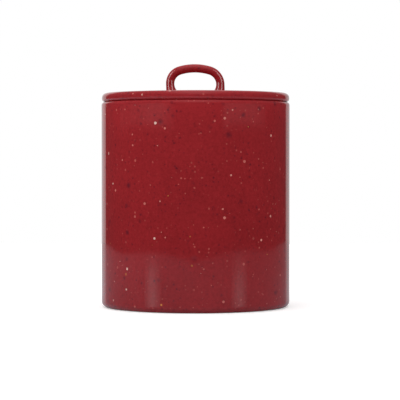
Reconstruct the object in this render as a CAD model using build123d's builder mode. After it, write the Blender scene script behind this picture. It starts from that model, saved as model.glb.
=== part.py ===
from build123d import *
import os
from math import asin, degrees, sqrt

# Lidded stoneware jar: a round jar, a slab lid with a loop handle, and the seal ring on the lid's plug.
# Millimetres, +Z up. The origin is the middle of the foot, on the surface that the jar stands on.
# The handle's loop lies in the XZ plane, and the jar's front faces -Y.

# Jar: one round casting
jar_diameter = 178.0
jar_height = 193.6  # from the foot to the rim
wall = 6.0
floor_thickness = 8.0
base_edge_radius = 4.0  # outside, where the wall turns under
inner_corner_radius = 12.0  # inside, between the wall and the floor
rim_outer_radius = 3.2
rim_inner_radius = 1.2

# Foot: a flat dry ring that the jar stands on, round a shallow recess
foot_ring_width = 8.0
foot_recess_depth = 2.0
foot_recess_radius = 1.5  # where the recess meets the ring's inner side

# Lid: a flat slab that lies on the rim
lid_inset = 0.4  # how far the lid's edge stays inside the jar's wall
lid_thickness = 8.3
lid_top_radius = 4.4
lid_bottom_radius = 2.8

# Plug: the ring under the slab that keeps the lid centred in the mouth
plug_gap = 3.0  # from the plug to the mouth, all round
plug_thickness = 8.0
plug_edge_radius = 1.5
plug_root_radius = 3.0  # inside, where the plug grows out of the slab

# Groove: holds the seal, between two shoulders of the plug
groove_depth = 2.8
groove_height = 9.0
upper_shoulder = 4.0  # from the slab's underside to the groove
lower_shoulder = 4.0  # from the groove to the plug's end

# Seal: a soft ring in the groove, whose lips reach for the mouth
seal_clearance = 0.3  # to the groove and to the mouth
seal_band = 1.6  # thickness between the lips
lip_count = 3
lip_thickness = 1.0
lip_rise = 1.2  # how far a lip climbs from its root to its free edge

# Handle: a round rod bent to a low arch, with feet that spread inward
rod_diameter = 8.0
handle_span = 47.5  # between the middles of the two legs
leg_height = 8.9  # from the lid to where the arch springs
corner_radius = 13.3  # of the rod's middle line
crown_radius = 50.0  # of the rod's middle line
foot_height = 8.6
foot_spread = 4.6  # how much wider a foot is than the rod where it meets the lid
foot_sections = 5

# Places that follow from the sizes
jar_radius = jar_diameter / 2
mouth_radius = jar_radius - wall
inner_floor = foot_recess_depth + floor_thickness
recess_radius = jar_radius - base_edge_radius - foot_ring_width

lid_radius = jar_radius - lid_inset
lid_underside = jar_height
lid_top = lid_underside + lid_thickness

plug_outer_radius = mouth_radius - plug_gap
plug_inner_radius = plug_outer_radius - plug_thickness
groove_radius = plug_outer_radius - groove_depth
groove_top = lid_underside - upper_shoulder
groove_bottom = groove_top - groove_height
plug_bottom = groove_bottom - lower_shoulder

seal_inner_radius = groove_radius + seal_clearance
band_radius = seal_inner_radius + seal_band
lip_radius = mouth_radius - seal_clearance
seal_bottom = groove_bottom + seal_clearance
seal_top = groove_top - seal_clearance
lip_pitch = (seal_top - seal_bottom - lip_rise - lip_thickness) / (lip_count - 1)

rod_radius = rod_diameter / 2
leg_x = handle_span / 2
spring_z = lid_top + leg_height
corner_x = leg_x - corner_radius  # from the middle plane to the centre of a corner
crown_half_angle = degrees(asin(corner_x / (crown_radius - corner_radius)))
corner_angle = 90 - crown_half_angle
handle_top = spring_z + crown_radius - sqrt((crown_radius - corner_radius) ** 2 - corner_x**2) + rod_radius

os.makedirs("parts", exist_ok=True)

# Jar body: the section of foot, wall, rim and floor, turned about Z
with BuildPart() as jar_body:
    with BuildSketch(Plane.XZ):
        with BuildLine():
            jar_section = FilletPolyline(
                (0, foot_recess_depth),
                (recess_radius, foot_recess_depth),
                (recess_radius, 0),
                (jar_radius, 0),
                (jar_radius, jar_height),
                (mouth_radius, jar_height),
                (mouth_radius, inner_floor),
                (0, inner_floor),
                radius=[
                    foot_recess_radius,
                    0,
                    base_edge_radius,
                    rim_outer_radius,
                    rim_inner_radius,
                    inner_corner_radius,
                ],
            )
            Line(jar_section @ 1, jar_section @ 0)
        make_face()
    revolve(axis=Axis.Z)
jar_body.part.label = "jar_body"
export_step(jar_body.part, "parts/jar_body.step")

# Lid: the section of slab and plug, turned about Z, with the seal's groove cut round the plug
with BuildPart() as lid:
    with BuildSketch(Plane.XZ):
        with BuildLine():
            lid_section = FilletPolyline(
                (0, lid_top),
                (lid_radius, lid_top),
                (lid_radius, lid_underside),
                (plug_outer_radius, lid_underside),
                (plug_outer_radius, plug_bottom),
                (plug_inner_radius, plug_bottom),
                (plug_inner_radius, lid_underside),
                (0, lid_underside),
                radius=[
                    lid_top_radius,
                    lid_bottom_radius,
                    0,
                    plug_edge_radius,
                    plug_edge_radius,
                    plug_root_radius,
                ],
            )
            Line(lid_section @ 1, lid_section @ 0)
        make_face()
    revolve(axis=Axis.Z)
    with BuildSketch(Plane.XY.offset(groove_bottom)):
        Circle(mouth_radius)
        Circle(groove_radius, mode=Mode.SUBTRACT)
    extrude(amount=groove_height, mode=Mode.SUBTRACT)
lid.part.label = "lid"
export_step(lid.part, "parts/lid.step")

# Lid seal: the band that sits in the groove, with lips that climb outward to the mouth
with BuildPart() as lid_seal:
    with BuildSketch(Plane.XZ):
        with BuildLine():
            Polyline(
                (seal_inner_radius, seal_bottom),
                (band_radius, seal_bottom),
                (band_radius, seal_top),
                (seal_inner_radius, seal_top),
                close=True,
            )
        make_face()
        for lip in range(lip_count):
            lip_root = seal_bottom + lip * lip_pitch
            with BuildLine():
                Polyline(
                    (seal_inner_radius, lip_root),
                    (band_radius, lip_root),
                    (lip_radius, lip_root + lip_rise),
                    (lip_radius, lip_root + lip_rise + lip_thickness),
                    (band_radius, lip_root + lip_thickness),
                    (seal_inner_radius, lip_root + lip_thickness),
                    close=True,
                )
            make_face()
    revolve(axis=Axis.Z)
lid_seal.part.label = "lid_seal"
export_step(lid_seal.part, "parts/lid_seal.step")

# Lid handle: the rod swept along its arch, on feet that keep their outer side upright and spread inward
with BuildPart() as lid_handle:
    with BuildLine(Plane.XZ) as arch:
        left_leg = Line((-leg_x, lid_top + foot_height), (-leg_x, spring_z))
        left_corner = JernArc(left_leg @ 1, left_leg % 1, corner_radius, -corner_angle)
        crown = JernArc(left_corner @ 1, left_corner % 1, crown_radius, -2 * crown_half_angle)
        right_corner = JernArc(crown @ 1, crown % 1, corner_radius, -corner_angle)
        Line(right_corner @ 1, (leg_x, lid_top + foot_height))
    with BuildSketch(Plane.XY.offset(lid_top + foot_height)):
        with Locations((-leg_x, 0)):
            Circle(rod_radius)
    sweep(path=arch.wires()[0])
    for side in (-1, 1):
        for section in range(foot_sections):
            height = section / (foot_sections - 1)
            growth = foot_spread / 2 * (1 - height) ** 2
            with BuildSketch(Plane.XY.offset(lid_top + height * foot_height)):
                with Locations((side * (leg_x - growth), 0)):
                    Circle(rod_radius + growth)
        loft()
lid_handle.part.label = "lid_handle"
export_step(lid_handle.part, "parts/lid_handle.step")

print("inside height", round(plug_bottom - inner_floor, 2), "mouth diameter", round(2 * mouth_radius, 2))
print("handle gap", round(handle_span - rod_diameter, 2), "by", round(handle_top - rod_diameter - lid_top, 2))
print("overall height", round(handle_top, 2))
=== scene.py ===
# %% [markdown]
# # A lidded stoneware jar
# This lesson dresses a kitchen jar: a straight round jar in a dark red speckled glaze, a slab lid with a
# loop handle, and a soft seal under the lid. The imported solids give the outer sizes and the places. They
# could be shown as they are, but a glossy glaze shows each flat facet of a coarse mesh. So the pieces are
# turned and bent again here with rounder corners, and each one takes the place of its solid.

# %% Load the frame
import math

import bmesh
import bpy
from mathutils import Matrix, Vector


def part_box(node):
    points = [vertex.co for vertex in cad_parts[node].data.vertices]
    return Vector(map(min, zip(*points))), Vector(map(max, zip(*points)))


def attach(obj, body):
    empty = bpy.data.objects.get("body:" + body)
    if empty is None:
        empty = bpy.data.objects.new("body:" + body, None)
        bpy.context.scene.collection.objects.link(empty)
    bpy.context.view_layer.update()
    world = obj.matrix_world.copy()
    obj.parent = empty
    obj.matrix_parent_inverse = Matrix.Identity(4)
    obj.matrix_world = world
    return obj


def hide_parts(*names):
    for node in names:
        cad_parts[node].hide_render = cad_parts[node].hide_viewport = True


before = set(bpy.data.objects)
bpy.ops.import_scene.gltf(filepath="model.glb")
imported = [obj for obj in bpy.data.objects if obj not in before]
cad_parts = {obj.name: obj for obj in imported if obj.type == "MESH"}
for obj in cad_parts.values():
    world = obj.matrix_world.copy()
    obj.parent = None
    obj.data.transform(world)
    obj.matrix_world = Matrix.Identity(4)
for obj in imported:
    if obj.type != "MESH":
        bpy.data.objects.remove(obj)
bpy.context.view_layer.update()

# %% [markdown]
# ## Turning a piece
# A potter's wheel or a mould gives a round piece from one half section. A cylinder with modifiers could
# do for a plain pot, but here each corner has a rounding of its own, so the section is drawn point by
# point, a bevel rounds each point, and the spin operator turns it. A long run is first split close to its
# two ends. Smooth shading blends the normals of neighbouring faces, and a glossy wall would show that
# blend as a false bend beside each rounding, so the blend is kept to those two narrow strips.

# %% Helpers for turned pieces
TURN_STEPS = 192
ROUNDING_SEGMENTS = 9
SHADING_STRIP = 0.0002
SHORTEST_RUN, LONGEST_RUN = 6 * SHADING_STRIP, 0.012
SHARP_ANGLE = math.radians(40)
MERGE_DISTANCE = 1e-6


def finish_piece(name, bm, body, node):
    """Makes an object of a mesh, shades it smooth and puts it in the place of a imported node."""
    bmesh.ops.remove_doubles(bm, verts=bm.verts, dist=MERGE_DISTANCE)
    bmesh.ops.recalc_face_normals(bm, faces=bm.faces)
    mesh = bpy.data.meshes.new(name)
    bm.to_mesh(mesh)
    bm.free()
    mesh.shade_smooth()
    mesh.set_sharp_from_angle(angle=SHARP_ANGLE)
    piece = bpy.data.objects.new(name, mesh)
    bpy.context.scene.collection.objects.link(piece)
    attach(piece, body)
    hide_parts(node)
    print(name, "has", len(mesh.polygons), "faces")
    return piece


def turned(corners, closed=False):
    """Spins a half section about Z. A corner is its radius, its height and its rounding, in metres."""
    bm = bmesh.new()
    points = [bm.verts.new((radius, 0, height)) for radius, height, _ in corners]
    ends = points[1:] + points[:1] if closed else points[1:]
    for start, end in zip(points, ends):
        bm.edges.new((start, end))
    for point, (_, _, rounding) in zip(points, corners):
        if rounding:
            bmesh.ops.bevel(bm, geom=[point], offset=rounding, affect="VERTICES",
                            segments=ROUNDING_SEGMENTS, profile=0.5, material=-1)
    for run in [edge for edge in bm.edges if edge.calc_length() > SHORTEST_RUN]:
        start, end = run.verts
        near_start = bmesh.utils.edge_split(run, start, SHADING_STRIP / run.calc_length())[1]
        rest = next(edge for edge in near_start.link_edges if end in edge.verts)
        bmesh.utils.edge_split(rest, end, SHADING_STRIP / rest.calc_length())
    for run in [edge for edge in bm.edges if edge.calc_length() > LONGEST_RUN]:
        bmesh.ops.subdivide_edges(bm, edges=[run], cuts=int(run.calc_length() / LONGEST_RUN))
    bmesh.ops.spin(bm, geom=bm.verts[:] + bm.edges[:], cent=(0, 0, 0), axis=(0, 0, 1),
                   angle=math.tau, steps=TURN_STEPS, use_merge=True)
    return bm


# %% [markdown]
# ## The jar
# One casting: a foot ring round a shallow recess, a straight wall, a rounded rim, and a soft corner
# inside between wall and floor. A cylinder with Solidify could give the wall, but not the foot ring or
# the six different roundings. The section runs from the axis under the foot, out, up, over the rim and
# back down to the axis on the inner floor, so the jar is one closed skin.

# %% Turn the jar
_, jar_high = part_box("jar_body")
jar_radius = min(jar_high.x, jar_high.y)
rim_height = jar_high.z
wall_thickness = 0.006
mouth_radius = jar_radius - wall_thickness
inner_floor, foot_recess, foot_ring_width = 0.010, 0.002, 0.0065
base_rounding, rim_rounding, mouth_rounding, inner_corner = 0.0055, 0.0032, 0.0012, 0.012
recess_corner, ring_softness = 0.0015, 0.0003
recess_radius = jar_radius - base_rounding - foot_ring_width

jar = finish_piece("jar_glazed", turned([
    (0, foot_recess, 0),
    (recess_radius, foot_recess, recess_corner),
    (recess_radius, 0, ring_softness),
    (jar_radius, 0, base_rounding),
    (jar_radius, rim_height, rim_rounding),
    (mouth_radius, rim_height, mouth_rounding),
    (mouth_radius, inner_floor, inner_corner),
    (0, inner_floor, 0),
]), "jar", "jar_body")

# %% [markdown]
# ## The lid
# A pressed slab with a rounded edge. Under it a plug ring keeps it centred in the mouth, and a groove
# round the plug holds the seal. It could be a disc and a ring joined together, but a seam would stay
# where they meet, so slab, plug and groove are one section and come out as one skin.

# %% Turn the lid
lid_low, lid_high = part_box("lid")
lid_radius = min(lid_high.x, lid_high.y)
lid_top = lid_high.z
plug_bottom = lid_low.z
plug_gap, plug_thickness = 0.003, 0.008
plug_radius = mouth_radius - plug_gap
recess_wall = plug_radius - plug_thickness
upper_shoulder, groove_height, groove_depth = 0.004, 0.009, 0.0028
groove_radius = plug_radius - groove_depth
groove_top = rim_height - upper_shoulder
groove_bottom = groove_top - groove_height
top_rounding, under_rounding = 0.0044, 0.0028
plug_rounding, inner_root, outer_root = 0.0015, 0.003, 0.0006
glaze_softness = 0.0004

lid = finish_piece("lid_slab", turned([
    (0, lid_top, 0),
    (lid_radius, lid_top, top_rounding),
    (lid_radius, rim_height, under_rounding),
    (plug_radius, rim_height, outer_root),
    (plug_radius, groove_top, glaze_softness),
    (groove_radius, groove_top, glaze_softness),
    (groove_radius, groove_bottom, glaze_softness),
    (plug_radius, groove_bottom, glaze_softness),
    (plug_radius, plug_bottom, plug_rounding),
    (recess_wall, plug_bottom, plug_rounding),
    (recess_wall, rim_height, inner_root),
    (0, rim_height, 0),
]), "lid", "lid")

# %% [markdown]
# ## The seal
# A moulded silicone ring in the groove of the plug. A plain torus could stand for it, but the three thin
# lips are what shuts such a jar, so the section has them: up to each lip's edge, along it, and back in to
# the band. The loop is closed, and the spin then makes a ring with no ends.

# %% Turn the seal
seal_low, seal_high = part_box("lid_seal")
lip_radius = min(seal_high.x, seal_high.y)
seal_clearance, band_thickness = 0.0003, 0.0016
band_inside = groove_radius + seal_clearance
band_outside = band_inside + band_thickness
lip_thickness, lip_rise, lip_count = 0.001, 0.0012, 3
lip_pitch = (seal_high.z - seal_low.z - lip_rise - lip_thickness) / (lip_count - 1)
soft_edge, first_root = 0.0003, 0.0001

seal_section = [(band_inside, seal_low.z, soft_edge), (band_outside, seal_low.z, first_root)]
for lip in range(lip_count):
    root = seal_low.z + lip * lip_pitch
    if lip:
        seal_section.append((band_outside, root, soft_edge))
    seal_section += [
        (lip_radius, root + lip_rise, soft_edge),
        (lip_radius, root + lip_rise + lip_thickness, soft_edge),
        (band_outside, root + lip_thickness, soft_edge),
    ]
seal_section += [(band_outside, seal_high.z, soft_edge), (band_inside, seal_high.z, soft_edge)]
seal = finish_piece("seal_ring", turned(seal_section, closed=True), "seal", "lid_seal")

# %% [markdown]
# ## The handle
# A clay rod bent to a low arch and stuck on by hand, so it leans a little. A curve with a round bevel
# gives such an arch in one step, but not the feet, which spread inward and keep their outer side upright.
# So a disc on the lid is the sole of a foot: its rim is extruded and shrunk to make the foot, drawn up the
# leg, and spun round a tight corner and half of a wide crown. The other half is its mirror image, and a
# shear gives the lean.

# %% Raise a foot and a leg
handle_low, handle_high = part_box("lid_handle")
rod_radius, rod_segments = 0.0040, 40
leg_x, leg_height = 0.02375, 0.0089
foot_height, foot_spread, foot_rings = 0.0086, 0.0046, 12


def drawn_on(bm, loop, rise):
    """Extrudes a loop of edges, lifts the new ring, and returns its points and its edges."""
    made = bmesh.ops.extrude_edge_only(bm, edges=loop)["geom"]
    ring = [item for item in made if isinstance(item, bmesh.types.BMVert)]
    bmesh.ops.translate(bm, verts=ring, vec=(0, 0, rise))
    return ring, [item for item in made if isinstance(item, bmesh.types.BMEdge)]


bm = bmesh.new()
size_before = rod_radius + foot_spread / 2
ring = bmesh.ops.create_circle(bm, cap_ends=True, segments=rod_segments, radius=size_before)["verts"]
bmesh.ops.translate(bm, verts=ring, vec=(-leg_x + foot_spread / 2, 0, lid_top))
loop = list({edge for vert in ring for edge in vert.link_edges})
from_outer_side = Matrix.Translation((leg_x + rod_radius, 0, 0))
for step in range(1, foot_rings + 1):
    size = rod_radius + foot_spread / 2 * (1 - step / foot_rings) ** 2
    ring, loop = drawn_on(bm, loop, foot_height / foot_rings)
    shrink = Vector((size / size_before, size / size_before, 1))
    bmesh.ops.scale(bm, verts=ring, vec=shrink, space=from_outer_side)
    size_before = size
ring, loop = drawn_on(bm, loop, leg_height - foot_height)
print("one leg has", len(bm.faces), "faces")

# %% Bend the crown and mirror it
corner_radius, crown_radius = 0.0133, 0.050
corner_steps, crown_steps = 16, 8
LEAN, SEAM_DISTANCE = -0.035, 1e-5
corner_x = leg_x - corner_radius
crown_half_angle = math.asin(corner_x / (crown_radius - corner_radius))
spring = lid_top + leg_height
crown_centre = spring - math.sqrt((crown_radius - corner_radius) ** 2 - corner_x**2)

for centre, angle, steps in (
    ((-corner_x, 0, spring), math.pi / 2 - crown_half_angle, corner_steps),
    ((0, 0, crown_centre), crown_half_angle, crown_steps),
):
    ring = list({vert for edge in loop for vert in edge.verts})
    made = bmesh.ops.spin(bm, geom=ring + loop, cent=centre, axis=(0, 1, 0), angle=angle, steps=steps,
                          use_merge=False)["geom_last"]
    loop = [item for item in made if isinstance(item, bmesh.types.BMEdge)]
whole = bm.verts[:] + bm.edges[:] + bm.faces[:]
bmesh.ops.mirror(bm, geom=whole, merge_dist=SEAM_DISTANCE, axis="X")
lean = Matrix.Shear("XY", 4, (LEAN, 0))
bmesh.ops.transform(bm, matrix=lean, verts=bm.verts, space=Matrix.Translation((0, 0, -lid_top)))
handle = finish_piece("handle_loop", bm, "lid", "lid_handle")
print("handle", [round(v, 4) for v in handle.dimensions],
      "in place of", [round(v, 4) for v in handle_high - handle_low])

# %% [markdown]
# ## Writing shader maths
# A finish is a sum of many small patterns. Its Math nodes could be placed and linked one by one, but then
# the sum can't be read. Here a wire is an output socket that takes part in Python sums: each sum adds the
# Math node that works it out, and every other node comes from one method.


# %% Helper for shader maths
class Wire:
    """An output socket that takes part in sums, so that 1 - mask adds its Math node."""

    def __init__(self, socket):
        self.socket = socket

    def add(self, kind, values=(), output=0, **settings):
        """Adds a node to the same tree, sets it up, links its sockets and returns one output."""
        node = self.socket.id_data.nodes.new(kind)
        for key, setting in settings.items():
            setattr(node, key, setting)
        for key, value in dict(values).items():
            if isinstance(value, Wire):
                self.socket.id_data.links.new(value.socket, node.inputs[key])
            else:
                node.inputs[key].default_value = value
        return Wire(node.outputs[output])

    def also(self, output):
        """Another output of the same node."""
        return Wire(self.socket.node.outputs[output])

    def maths(self, operation, first, second=0.0, clamp=False):
        return self.add("ShaderNodeMath", {0: first, 1: second}, operation=operation, use_clamp=clamp)

    def __add__(self, other):
        return self.maths("ADD", self, other)

    def __radd__(self, other):
        return self.maths("ADD", other, self)

    def __sub__(self, other):
        return self.maths("SUBTRACT", self, other)

    def __rsub__(self, other):
        return self.maths("SUBTRACT", other, self)

    def __mul__(self, other):
        return self.maths("MULTIPLY", self, other)

    def __truediv__(self, other):
        return self.maths("DIVIDE", self, other)

    def __pow__(self, other):
        return self.maths("POWER", self, other)

    def clamped(self):
        return self.maths("ADD", self, 0.0, clamp=True)

    def ramp(self, start, end, low=0.0, high=1.0):
        """Goes from low to high while this wire goes from start to end, and stays there beyond."""
        return self.add("ShaderNodeMapRange", {"Value": self, "From Min": start, "From Max": end,
                                               "To Min": low, "To Max": high})

    def noise(self, scale, detail, roughness=0.5, output=0):
        """Noise over a place, with so many waves to a metre."""
        return self.add("ShaderNodeTexNoise", {"Vector": self, "Scale": scale, "Detail": detail,
                                               "Roughness": roughness}, output=output)

    def mix(self, first, second):
        """Goes from the first colour to the second as this wire goes from 0 to 1."""
        return self.add("ShaderNodeMix", {0: self, 6: first, 7: second}, output=2, data_type="RGBA")


def new_material(name):
    """Returns an empty material, its shader and a wire of the Object coordinates."""
    material = bpy.data.materials.new(name)
    material.use_nodes = True
    shader = material.node_tree.nodes["Principled BSDF"]
    return material, shader, Wire(shader.outputs[0]).add("ShaderNodeTexCoord", output="Object")


def feed(shader, socket, value):
    """Links a wire to a shader's socket, or sets a plain value there."""
    if isinstance(value, Wire):
        shader.id_data.links.new(value.socket, shader.inputs[socket])
    else:
        shader.inputs[socket].default_value = value


# %% [markdown]
# ## Grains in the glaze
# Grains of iron and rutile in the glaze melt to white, pale, amber and dark spots. Painted dots would
# repeat, and noise alone gives no round grain, so each layer of grains is a Voronoi texture: the distance
# to the middle of a cell gives the spot, and the cell's random colour says how large it is and which tint
# it has. The place is first moved about by fine noise, so that no grain is a perfect circle.

# %% Helpers for grains
PALE_GRAIN = (1.0, 0.29, 0.24, 1)
WHITE_GRAIN = (1.0, 0.78, 0.68, 1)
AMBER_GRAIN = (1.0, 0.46, 0.10, 1)
DARK_GRAIN = (0.030, 0.008, 0.020, 1)
GRAIN_WANDER, WANDER_WAVES = 0.0007, 900.0
LEAST_EDGE = 0.0005


def wandering(place):
    """The place, moved by up to a fraction of a millimetre."""
    wander = place.noise(WANDER_WAVES, detail=2.0, output="Color")
    return place.add("ShaderNodeVectorMath", {0: wander, 1: (GRAIN_WANDER,) * 3, 2: place},
                     operation="MULTIPLY_ADD")


def spots(place, cells_per_metre, largest, rarity, softness):
    """Mask of round spots, and the random values of their cells. Sizes are in metres."""
    cell = place.add("ShaderNodeTexVoronoi", {"Vector": place, "Scale": cells_per_metre})
    dice = cell.add("ShaderNodeSeparateColor", {"Color": cell.also("Color")})
    radius = dice**rarity * (largest * cells_per_metre)
    mask = ((radius - cell) / (radius * softness + LEAST_EDGE)).clamped()
    return mask, dice.also("Green"), dice.also("Blue")


# %% [markdown]
# ## The red glaze
# A dark red glaze over a buff clay, glossy as glass. Slow noise makes the red pool and thin. On the wall
# the red is
# lighter towards the rim: the glaze has run down a little in the kiln and lies thinner there, and painted
# light from above is added to it. Dark grains are spread evenly, and pale ones crowd together here and
# there. The foot is wiped bare before firing, so the clay shows there. One function makes the glaze for
# jar, lid and handle, since all three were dipped in the same bucket. They differ in how thin it lies, and
# the lid and the handle also carry painted light that makes up for the weaker light on them.

# %% Mix the glaze
RED_DEEP, RED_BRIGHT = (0.246, 0.0142, 0.0180, 1), (0.403, 0.0236, 0.0297, 1)
BUFF_CLAY, SHADED_CLAY = (0.56, 0.43, 0.30, 1), (0.40, 0.29, 0.19, 1)
# Two heights, and how much lighter the red is at each: at the rim thinner glaze, up the wall thinner glaze
# and painted light
WALL_RUN_AND_PAINTED_LIGHT, RIM_RUN = (0.06, 0.17, -0.15, 0.15), (0.165, 0.192, 0.0, 0.28)
# Waves are counted to a metre, heights and dents are in metres, and the rest are shares and strengths
NOISE_MIDDLE = 0.5
POOL_WAVES, POOL_STRENGTH = 22.0, 0.6
FINE_WAVES, FINE_STRENGTH = 420.0, 1.5
CROWD_WAVES, CROWD_CONTRAST = 38.0, 3.0
HAZE_STRENGTH, SHADE_STRENGTH, FLECK_STRENGTH = 0.7, 0.6, 0.42
DARK_LEAST, DARK_RANGE = 0.25, 0.45
LONE_FLECKS, LONE_GRAINS = 0.2, 0.6  # strength away from the crowds
PALE_LEAST, PALE_RARITY, WHITE_RARITY, AMBER_SHARE = 0.10, 0.9, 3.0, 0.15
RAGGED_WAVES, RAGGED_HEIGHT, DRY_SHARPNESS = 300.0, 0.0003, 6000.0
GLAZE_MATT, FINE_MATT, PALE_MATT, CLAY_MATT = 0.045, 0.012, 0.1, 0.6
SWELL_WAVES, SWELL_HEIGHT, FINE_HEIGHT = 14.0, 0.00006, 0.0000006
PALE_DENT, DARK_DENT, CLAY_HEIGHT = 0.000015, 0.00001, 0.00008
GLAZE_IOR = 1.40


def red_glaze(name, dry_below, thinness_and_painted_light, has_run_and_painted_light=False):
    """The glaze, with bare clay below a height. Where it has run down, it is thin and bright at the rim,
    and painted light brightens it up the wall.
    """
    material, shader, place = new_material(name)
    height = place.add("ShaderNodeSeparateXYZ", {"Vector": place}, output="Z")
    thin_and_painted_light = thinness_and_painted_light
    # Up the wall the red grows lighter: partly glaze that ran thin, partly painted light from above.
    if has_run_and_painted_light:
        thin_and_painted_light = thin_and_painted_light + height.ramp(*WALL_RUN_AND_PAINTED_LIGHT) + height.ramp(*RIM_RUN)
    fine = place.noise(FINE_WAVES, detail=3.0, roughness=0.65)
    pooling = (place.noise(POOL_WAVES, detail=3.0) - NOISE_MIDDLE) * POOL_STRENGTH
    pooling = pooling + (fine - NOISE_MIDDLE) * FINE_STRENGTH
    colour = (pooling + NOISE_MIDDLE + thin_and_painted_light).clamped().mix(RED_DEEP, RED_BRIGHT)

    uneven = wandering(place)
    haze, haze_tint, _ = spots(uneven, cells_per_metre=300.0, largest=0.0015, rarity=1.6, softness=0.9)
    colour = (haze * haze_tint * HAZE_STRENGTH).mix(colour, DARK_GRAIN)
    shade, shade_tint, _ = spots(uneven, cells_per_metre=165.0, largest=0.0017, rarity=0.8, softness=0.7)
    colour = (shade * shade_tint * SHADE_STRENGTH).mix(colour, DARK_GRAIN)
    dark, dark_tint, _ = spots(uneven, cells_per_metre=66.0, largest=0.0038, rarity=1.3, softness=0.8)
    colour = (dark * (DARK_LEAST + dark_tint * DARK_RANGE)).mix(colour, DARK_GRAIN)

    crowd = place.noise(CROWD_WAVES, detail=1.0) - NOISE_MIDDLE
    crowd = (NOISE_MIDDLE + crowd * CROWD_CONTRAST).clamped()
    fleck, fleck_tint, _ = spots(uneven, cells_per_metre=240.0, largest=0.0012, rarity=0.9, softness=0.6)
    fleck = fleck * fleck_tint * (LONE_FLECKS + crowd * (1 - LONE_FLECKS))
    colour = (fleck * FLECK_STRENGTH).mix(colour, PALE_GRAIN)
    pale, pale_tint, kind = spots(uneven, cells_per_metre=112.0, largest=0.00135, rarity=0.7, softness=0.05)
    pale = pale * (LONE_GRAINS + crowd * (1 - LONE_GRAINS))
    grain = (pale_tint**WHITE_RARITY).mix(PALE_GRAIN, WHITE_GRAIN)
    grain = kind.maths("GREATER_THAN", kind, 1 - AMBER_SHARE).mix(grain, AMBER_GRAIN)
    strength = PALE_LEAST + pale_tint**PALE_RARITY * (1 - PALE_LEAST)
    colour = (pale * strength).mix(colour, grain)

    ragged = place.noise(RAGGED_WAVES, detail=2.0) - NOISE_MIDDLE
    dry = ((dry_below + ragged * RAGGED_HEIGHT - height) * DRY_SHARPNESS).clamped()
    feed(shader, "Base Color", dry.mix(colour, fine.mix(SHADED_CLAY, BUFF_CLAY)))
    feed(shader, "Roughness", GLAZE_MATT + fine * FINE_MATT + pale * PALE_MATT + dry * CLAY_MATT)
    feed(shader, "IOR", GLAZE_IOR)
    relief = place.noise(SWELL_WAVES, detail=1.0) * SWELL_HEIGHT + fine * FINE_HEIGHT
    relief = relief - pale * PALE_DENT - dark * DARK_DENT
    relief = relief + dry * fine * CLAY_HEIGHT
    feed(shader, "Normal", place.add("ShaderNodeBump", {"Height": relief, "Distance": 1.0}))
    print(name, "has", len(material.node_tree.nodes), "nodes")
    return material


BARE_CLAY, NO_BARE_CLAY = 0.0004, -1.0
jar.data.materials.append(red_glaze("jar_red_glaze", BARE_CLAY, thinness_and_painted_light=0.0, has_run_and_painted_light=True))
# The lid and the handle are lighter red than the jar: partly thinner glaze, partly painted light that makes
# up for the weaker light on them.
lid.data.materials.append(red_glaze("lid_red_glaze", plug_bottom + BARE_CLAY, thinness_and_painted_light=0.28))
handle.data.materials.append(red_glaze("handle_red_glaze", NO_BARE_CLAY, thinness_and_painted_light=0.4))

# %% [markdown]
# ## The silicone of the seal
# Milky, satin and a little see-through at its thin lips. Glass-like transmission would be too clear, and a
# plain white too dead, so some light goes under its skin, and a cloudy noise varies its colour and gloss.

# %% Mix the silicone
MILK_SHADED, MILK_PALE = (0.62, 0.60, 0.56, 1), (0.78, 0.77, 0.73, 1)
CLOUD_WAVES, CLOUD_HEIGHT = 160.0, 0.00003
SATIN, CLOUD_MATT = 0.38, 0.12
UNDER_SKIN, SKIN_DEPTH = 0.25, 0.002
material, shader, place = new_material("milky_silicone")
cloud = place.noise(CLOUD_WAVES, detail=3.0)
feed(shader, "Base Color", cloud.mix(MILK_SHADED, MILK_PALE))
feed(shader, "Roughness", SATIN + cloud * CLOUD_MATT)
feed(shader, "Subsurface Weight", UNDER_SKIN)
feed(shader, "Subsurface Scale", SKIN_DEPTH)
feed(shader, "Normal", place.add("ShaderNodeBump", {"Height": cloud * CLOUD_HEIGHT, "Distance": 1.0}))
seal.data.materials.append(material)
print(material.name, "has", len(material.node_tree.nodes), "nodes")

# %% [markdown]
# ## The table
# The jar stands on a white table, and its glossy wall mirrors that table in a paler band above the base.
# A floor without an end would be mirrored all the way up to eye level, so the table ends where its mirror
# image ends on the jar, with well rounded corners. A port under the foot lets light reach the underside
# in views from below. For the camera the table is a white that keeps the jar's shadow. For mirrored rays
# it is a cool pale grey with painted shade, darker to the right and to the back, with a soft gloss of its
# own.

# %% Lay the table
TABLE_LEFT, TABLE_RIGHT, TABLE_FRONT, TABLE_BACK = -1.10, 1.20, -0.98, 1.30
TABLE_CORNER, TABLE_PORT, TABLE_DROP = 0.8, 0.083, 0.0002
CORNER_SEGMENTS, PORT_SEGMENTS = 16, 64
bm = bmesh.new()
corners = [bm.verts.new((x, y, 0)) for x, y in (
    (TABLE_LEFT, TABLE_FRONT),
    (TABLE_RIGHT, TABLE_FRONT),
    (TABLE_RIGHT, TABLE_BACK),
    (TABLE_LEFT, TABLE_BACK),
)]
for start, end in zip(corners, corners[1:] + corners[:1]):
    bm.edges.new((start, end))
bmesh.ops.bevel(bm, geom=corners, offset=TABLE_CORNER, affect="VERTICES",
                segments=CORNER_SEGMENTS, profile=0.5, material=-1)
bmesh.ops.create_circle(bm, segments=PORT_SEGMENTS, radius=TABLE_PORT)
bmesh.ops.triangle_fill(bm, edges=bm.edges, use_beauty=True, normal=(0, 0, 1))
bmesh.ops.translate(bm, verts=bm.verts, vec=(0, 0, -TABLE_DROP))
table_mesh = bpy.data.meshes.new("table")
bm.to_mesh(table_mesh)
bm.free()
table = bpy.data.objects.new("table", table_mesh)
bpy.context.scene.collection.objects.link(table)
print("table", [round(v, 3) for v in table.dimensions])

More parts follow.
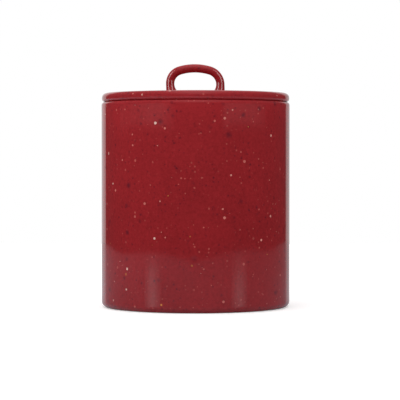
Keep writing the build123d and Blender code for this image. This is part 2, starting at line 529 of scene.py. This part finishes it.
# %% Paint the table
TABLE_GREY = (0.72, 0.72, 0.72, 1)
MIRRORED_NEAR, MIRRORED_PAINTED_SHADE = (0.62, 0.63, 0.74, 1), (0.24, 0.24, 0.28, 1)
RIGHTWARD, BACKWARD, OUTWARD = (-0.6, 0.6), (-0.1, 0.9), (0.85, 1.25)
RIGHT_SHADE, BACK_SHADE, OUT_SHADE = 0.6, 0.8, 0.1
TABLE_ROUGHNESS, TABLE_IOR = 0.11, 1.12
SEEN_GLOW, SEEN_GREY, MIRRORED_SHARE = 0.4, (0.8, 0.8, 0.8, 1), 0.1
material, shader, place = new_material("white_table")
rays = place.add("ShaderNodeLightPath", output="Is Camera Ray")
glossy = rays.also("Is Glossy Ray")
across = place.add("ShaderNodeSeparateXYZ", {"Vector": place})
rightward = across.ramp(*RIGHTWARD)
backward = across.also("Y").ramp(*BACKWARD)
outward = place.add("ShaderNodeVectorMath", {0: place}, output="Value", operation="LENGTH").ramp(*OUTWARD)
# Painted shade on the table, seen only in mirror images: darker to the right, to the back and far out.
shading = rightward * RIGHT_SHADE + backward * BACK_SHADE + outward * OUT_SHADE
mirrored = shading.mix(MIRRORED_NEAR, MIRRORED_PAINTED_SHADE)
feed(shader, "Base Color", glossy.mix(TABLE_GREY, mirrored))
feed(shader, "Roughness", TABLE_ROUGHNESS)
feed(shader, "IOR", TABLE_IOR)
glow = place.add("ShaderNodeEmission", {"Color": (1, 1, 1, 1), "Strength": SEEN_GLOW})
shaded = place.add("ShaderNodeBsdfDiffuse", {"Color": SEEN_GREY})
bright = place.add("ShaderNodeAddShader", {0: glow, 1: shaded})
white_rays = (rays + rays.also("Is Transmission Ray") + glossy * MIRRORED_SHARE).clamped()
seen = place.add("ShaderNodeMixShader", {0: white_rays, 1: Wire(shader.outputs[0]), 2: bright})
below = place.add("ShaderNodeNewGeometry", output="Backfacing")
clear = place.add("ShaderNodeBsdfTransparent")
open_below = place.add("ShaderNodeMixShader", {0: below, 1: seen, 2: clear})
feed(material.node_tree.nodes["Material Output"], "Surface", open_below)
table_mesh.materials.append(material)
print(material.name, "has", len(material.node_tree.nodes), "nodes")

# %% [markdown]
# ## The lights
# A glossy jar shows its lights as shapes, so each light is placed by what it draws. Two narrow strips are
# mirrored by the table as upright streaks above the base, and three strips of rising width behind each
# other give a streak its soft sides. Two taller strips draw the thin lines that run up the handle's legs
# and round its corners. All of these are flagged off everything else, since on the wall they would make
# hard bars. Low skirts, in layers again, draw the faint patches under the rim, and two walls behind draw
# the pale lines down the jar's sides. The key and the fills give plain light and are kept out of mirror
# images, because the rounded edges of lid and rim would draw each of them as a bright line.

# %% Helpers for lights
def softbox(name, place, aim, width, height, radiance, mirrored=True, spreads=True):
    """A rectangular light that faces a point. Its power follows from its area and how bright it looks.
    One that isn't mirrored gives plain light alone, and one that doesn't spread is a mirror image alone."""
    data = bpy.data.lights.new(name, "AREA")
    data.shape = "RECTANGLE"
    data.size, data.size_y = width, height
    data.energy = radiance * math.pi * width * height
    light = bpy.data.objects.new(name, data)
    turn = (Vector(aim) - Vector(place)).to_track_quat("-Z", "Y").to_matrix().to_4x4()
    light.matrix_world = Matrix.Translation(place) @ turn
    light.visible_camera = False
    light.visible_glossy = mirrored
    light.visible_diffuse = spreads
    bpy.context.scene.collection.objects.link(light)
    print(name, "gives", round(data.energy, 1), "W")
    return light


def beside(angle, distance, height):
    """A place round the jar, at an angle from the front."""
    angle = math.radians(angle)
    return (math.sin(angle) * distance, -math.cos(angle) * distance, height)


def only_for(receiver):
    """A collection of one object, for lights that are flagged off everything else."""
    flagged = bpy.data.collections.new("only_" + receiver.name)
    flagged.objects.link(receiver)
    return flagged


# %% Set the strips
STRIP_DISTANCE, LAYER_STEP = 2.2, 0.01


def strips(receiver, angles, levels, widths, low_edge, top_edge, spreads):
    """Upright strips to the left and the right, flagged off everything but one object."""
    flagged = only_for(receiver)
    middle = (low_edge + top_edge) / 2
    for side, angle, radiance in zip(("left", "right"), angles, levels):
        for layer, width in enumerate(widths):
            place = beside(angle, STRIP_DISTANCE + layer * LAYER_STEP, middle)
            strip = softbox(side + "_strip_for_" + receiver.name, place, (0, 0, middle), width,
                            top_edge - low_edge, radiance, spreads=spreads)
            strip.light_linking.receiver_collection = flagged


strips(table, angles=(-52.5, 53.5), levels=(1.0, 0.8), widths=(0.25, 0.50, 0.80),
       low_edge=0.10, top_edge=1.05, spreads=True)
strips(handle, angles=(-54, 45), levels=(8.0, 6.5), widths=(1.10,),
       low_edge=0.0, top_edge=2.60, spreads=False)

# %% Set the skirts
SKIRT_LEVEL, SKIRT_HEIGHT, SKIRT_DISTANCE, SKIRT_RADIANCE = 0.241, 0.058, 2.15, 0.11
# The angles from the front between which each layer reaches
SKIRT_ENDS = {
    "left": ((-25, -103), (-29, -85), (-34, -70), (-39, -60)),
    "right": ((31.5, 92), (33, 84), (35, 76)),
}
for side, layers in SKIRT_ENDS.items():
    for layer, (inner_end, outer_end) in enumerate(layers):
        distance = SKIRT_DISTANCE + layer * LAYER_STEP
        width = 2 * distance * math.tan(math.radians(abs(outer_end - inner_end) / 2))
        place = beside((inner_end + outer_end) / 2, distance, SKIRT_LEVEL)
        softbox(side + "_skirt", place, (0, 0, SKIRT_LEVEL), width, SKIRT_HEIGHT, SKIRT_RADIANCE)

# %% Set the fills, the key and the walls
FILL_DISTANCE, FILL_LEVEL, FILL_AIM = 2.2, 1.65, (0, 0, 0.1)
FILL_WIDTH, FILL_HEIGHT = 1.9, 1.3
KEY_PLACE, KEY_AIM = (-0.45, -1.0, 1.15), (0, 0, 0.15)
WALL_DISTANCE, WALL_LEVEL, WALL_HEIGHT = 1.4, 0.5, 1.4
for side, angle, radiance in (("left", -95, 1.2), ("right", 88, 0.8)):
    place = beside(angle, FILL_DISTANCE, FILL_LEVEL)
    softbox(side + "_fill", place, FILL_AIM, FILL_WIDTH, FILL_HEIGHT, radiance, mirrored=False)
softbox("key", KEY_PLACE, KEY_AIM, width=1.8, height=1.0, radiance=1.22, mirrored=False)
for side, reach, radiance in (("left", -1.142, 0.72), ("right", 1.086, 0.56)):
    place = (reach / 2, WALL_DISTANCE, WALL_LEVEL)
    softbox(side + "_wall", place, (reach / 2, 0, WALL_LEVEL), abs(reach), WALL_HEIGHT, radiance)

# %% [markdown]
# ## The room
# A picture of a room could light the jar, but no picture is used here, so a pale tent does it: dark at eye
# level, where the jar's wall would mirror it, bright overhead, and lit from below for the underside. For
# mirrored rays the tent is darker to the left and the right, so that the lid's rounded edge stays deep red
# at its two ends. Seen by the camera the room is plain white.

# %% Set the world
EYE_LEVEL, OVERHEAD, UNDERFOOT = 0.01, 1.05, 0.8
UPWARD, DOWNWARD, SIDEWAYS = (0.06, 0.90), (-0.15, -0.6), (0.1, 0.5)
MIRRORED_WHITE, SIDE_DIMMING = 0.05, 0.75
world = bpy.data.worlds.new("room")
bpy.context.scene.world = world
world.use_nodes = True
background = world.node_tree.nodes["Background"]
direction = Wire(background.outputs[0]).add("ShaderNodeTexCoord", output="Generated")
across = direction.add("ShaderNodeSeparateXYZ", {"Vector": direction})
upward = across.also("Z")
sideways = across.maths("ABSOLUTE", across).ramp(*SIDEWAYS)
rays = direction.add("ShaderNodeLightPath", output="Is Camera Ray")
glossy = rays.also("Is Glossy Ray")
tent = upward.ramp(*UPWARD, EYE_LEVEL, OVERHEAD) * (1 - glossy * sideways * SIDE_DIMMING)
tent = tent + upward.ramp(*DOWNWARD, 0.0, UNDERFOOT)
white_share = (rays + rays.also("Is Transmission Ray") + glossy * MIRRORED_WHITE).clamped()
feed(background, "Strength", tent + white_share * (1 - tent))
feed(background, "Color", (1, 1, 1, 1))
bpy.context.scene.view_settings.view_transform = "Standard"
print(world.name, "has", len(world.node_tree.nodes), "nodes")

# %% [markdown]
# ## The camera
# The lid's top isn't seen and the base shows a slight curve, so the camera stands a little below the lid,
# with a long lens and a slight tilt down. A wide lens close by would curve the base far more.

# %% Place the camera
CAMERA_DISTANCE, CAMERA_HEIGHT = 1.7505, 0.1389
TILT_DOWN, TURN_RIGHT = 1.2444, 0.137
SENSOR_WIDTH, FOCAL_LENGTH = 36.0, 166.13
lens = bpy.data.cameras.new("camera")
lens.sensor_width = SENSOR_WIDTH
lens.lens = FOCAL_LENGTH
camera = bpy.data.objects.new("camera", lens)
camera.location = (0, -CAMERA_DISTANCE, CAMERA_HEIGHT)
camera.rotation_euler = (math.radians(90 - TILT_DOWN), 0, math.radians(-TURN_RIGHT))
bpy.context.scene.collection.objects.link(camera)
bpy.context.scene.camera = camera
print("camera at", [round(v, 4) for v in camera.location])
